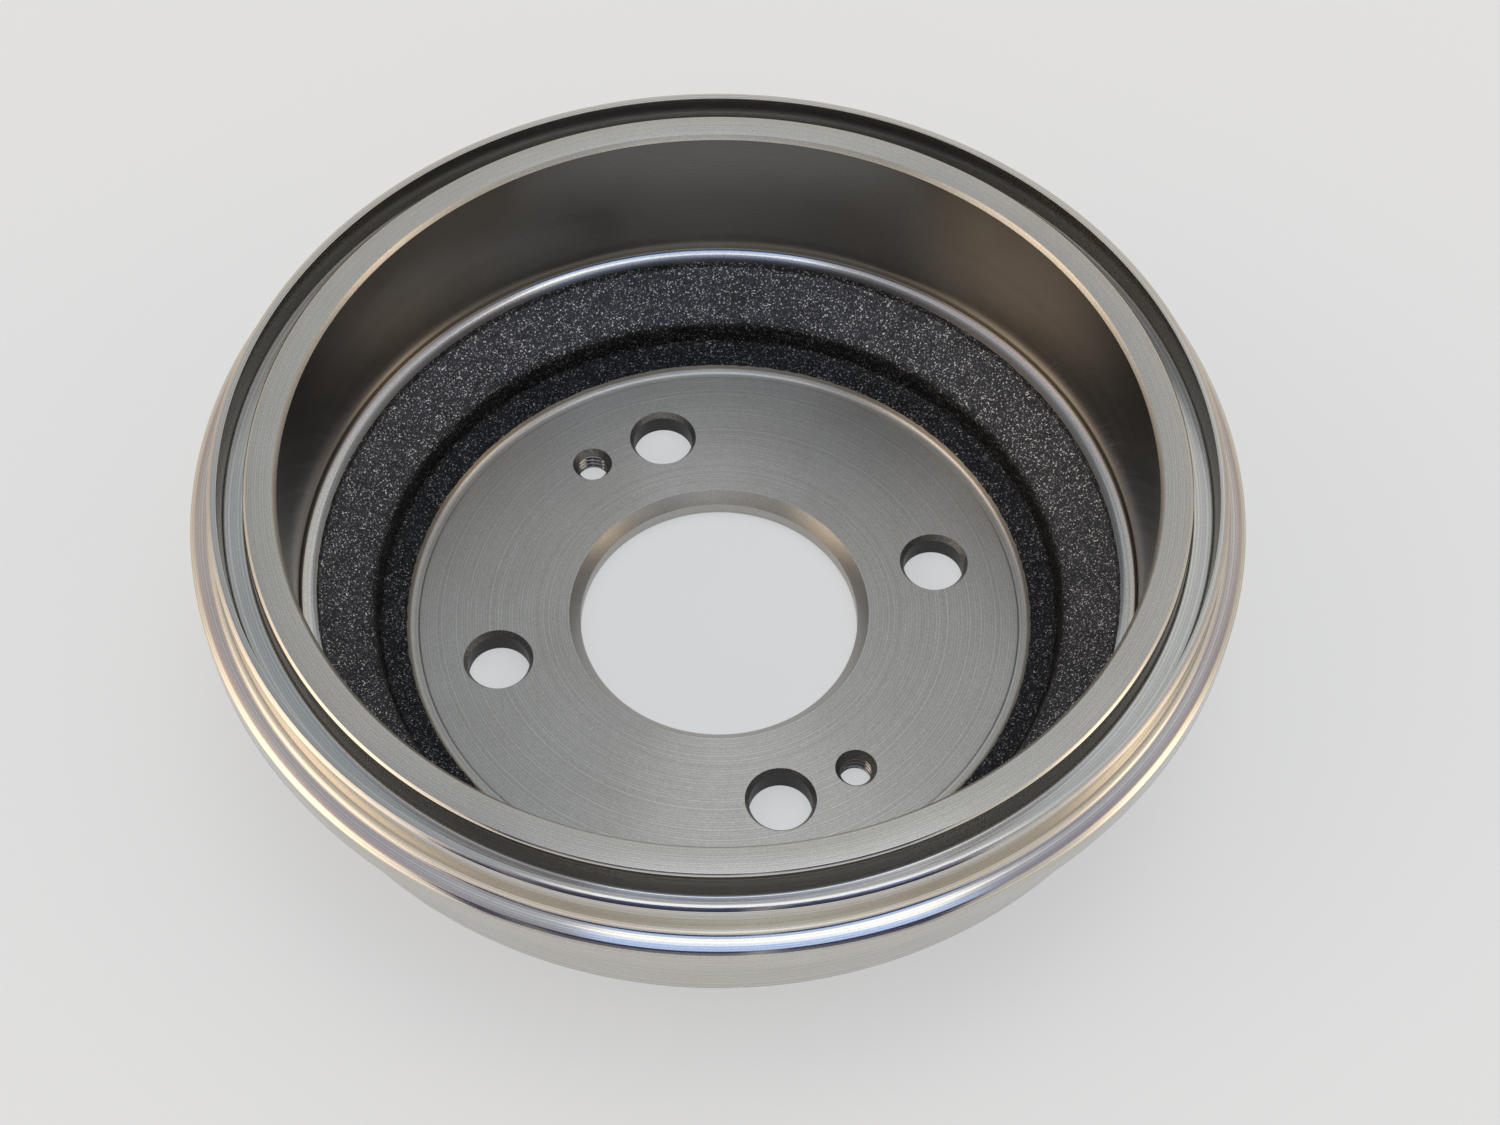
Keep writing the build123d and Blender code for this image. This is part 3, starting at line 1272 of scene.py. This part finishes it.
    def tint_room(self) -> None:
        """Gives the room its soft light, its shades, its lights and what hangs under its ceiling."""
        world = bpy.data.worlds.new("studio_room")
        bpy.context.scene.world = world
        world.use_nodes = True
        tree = world.node_tree
        tree.nodes.clear()
        way = add_node(tree, "TexCoord").outputs["Generated"]
        tone = self.wall_tone(tree, way)
        for glow in self.shades:
            mask = glow.mask(tree, way, self.azimuth)
            taken = add_node(tree, "VectorMath", {"operation": "SCALE"}, {0: glow.light, "Scale": mask})
            spare = add_node(tree, "VectorMath", {"operation": "SUBTRACT"}, {0: (1, 1, 1), 1: taken})
            left = add_node(tree, "VectorMath", {"operation": "MAXIMUM"}, {0: spare, 1: self.night})
            tone = add_node(tree, "VectorMath", {"operation": "MULTIPLY"}, {0: tone, 1: left})
        for glow in self.lights:
            mask = glow.mask(tree, way, self.azimuth)
            added = add_node(tree, "VectorMath", {"operation": "SCALE"}, {0: glow.light, "Scale": mask})
            tone = add_node(tree, "VectorMath", {"operation": "ADD"}, {0: tone, 1: added})
        across, along = self.ceiling_place(tree, way)
        for panel in self.panels:
            tone = add_node(
                tree, "Mix", {"data_type": "VECTOR"},
                {0: panel.mask(tree, across, along), 4: tone, 5: panel.light},
            ).outputs[1]
        sky = add_node(tree, "Background", inputs={"Color": tone, "Strength": 1.0})
        add_node(tree, "OutputWorld", inputs={0: sky})

    def set_camera(self) -> bpy.types.Object:
        """Sets up the camera and makes it the scene's.

        Returns:
            The camera.
        """
        data = bpy.data.cameras.new("camera")
        data.sensor_width = 36.0
        data.lens = self.lens
        data.clip_start = 0.01
        camera = bpy.data.objects.new("camera", data)
        turn, lift = radians(self.azimuth), radians(self.elevation)
        out = Vector((cos(lift) * cos(turn), cos(lift) * sin(turn), sin(lift)))
        camera.location = Vector(self.aim) + out * self.distance
        look = (-out).to_track_quat("-Z", "Y").to_matrix()
        camera.rotation_euler = (look @ Matrix.Rotation(radians(self.roll), 3, "Z")).to_euler()
        bpy.context.scene.collection.objects.link(camera)
        bpy.context.scene.camera = camera
        return camera


def drum_materials() -> dict[Finish, Material]:
    """Builds one material for each finish.

    Returns:
        The materials by their finish.
    """
    irons = {
        # faced slowly: even fine rings, with a few blowholes that the cut has opened
        Finish.SEAT: TurnedIron(
            "turned_iron_seat", colour="#BCBAB5", stain="#AFABA4", feed=0.62, pit_share=0.4
        ),
        # the ring's face: a little paler than the seat
        Finish.RING_FACE: TurnedIron(
            "turned_iron_ring_face", colour="#C2C0BB", stain="#B7B3AC", feed=0.5
        ),
        # burnished by the tool's nose: a bright line around the dark cone
        Finish.CORNER: TurnedIron(
            "turned_iron_corner", colour="#CCCAC5", stain="#C4C0B9", roughness=0.12
        ),
        # bored smooth: its colour, darkened well below the other turned faces, is painted shade inside
        # the drum; it shows a blurred image of the seat
        Finish.FRICTION: TurnedIron(
            "bored_iron_friction", colour="#7B7976", stain="#716E6A", feed=0.4, roughness=0.17,
            anisotropy=0.95, flake_contrast=0.05
        ),
        # turned with a sharp insert: nearly a mirror, so that the lamps draw crisp bands
        Finish.OUTER: TurnedIron(
            "turned_iron_outer", colour="#CDCBC6", stain="#C4C0B9", feed=0.62, ring_depth=0.003,
            roughness=0.12, flake_contrast=0.05
        ),
        # the groove's walls, plunged: their darker colour is painted shade in the groove, and they are
        # dark where they face each other
        Finish.GROOVE: TurnedIron(
            "turned_iron_groove", colour="#A3A19D", stain="#989590", feed=0.7, roughness=0.17,
            anisotropy=0.95
        ),
        # blasted foundry skin: near black, with glints painted on random grains
        Finish.CAST: CastIron("sand_cast_iron"),
        # torn a little by the drill: dull and dark
        Finish.DRILLED: TurnedIron(
            "drilled_iron", colour="#4C4A49", stain="#3E3C3B", roughness=0.35
        ),
        # cut by a tap: clean flanks that shine one by one
        Finish.THREAD: TurnedIron(
            "tapped_iron", colour="#A6A4A0", stain="#96948F", roughness=0.16, anisotropy=0.0,
            ring_depth=0.0
        ),
        # countersunk with chatter: mottled grey
        Finish.SINK: TurnedIron(
            "countersunk_iron", colour="#9C9A96", stain="#7E7C78", roughness=0.46, anisotropy=0.3,
            flake=0.25, flake_contrast=0.35
        ),
        # faced in one cut with the skirt's chamfer
        Finish.BACK: TurnedIron("turned_iron_wheel_face"),
        # the same skin, from coarser sand
        Finish.CAST_BACK: CastIron("sand_cast_iron_back", grain=0.5),
    }
    return {finish: iron.build() for finish, iron in irons.items()}


def main() -> None:
    """Builds the drum and the studio around it."""
    logging.basicConfig(level=logging.INFO, format="%(name)s: %(message)s")
    view = bpy.context.scene.view_settings
    view.view_transform = "Standard"
    drum = BrakeDrum(DrumSizes()).build(drum_materials())
    triangles = sum(len(face.vertices) - 2 for face in drum.data.polygons)
    log.info("%s: %d faces, %d triangles", drum.name, len(drum.data.polygons), triangles)
    studio = Studio()
    for piece in (studio.lay_table(), studio.set_camera()):
        log.info("%s in place", piece.name)
    studio.tint_room()


if __name__ == "__main__":
    main()
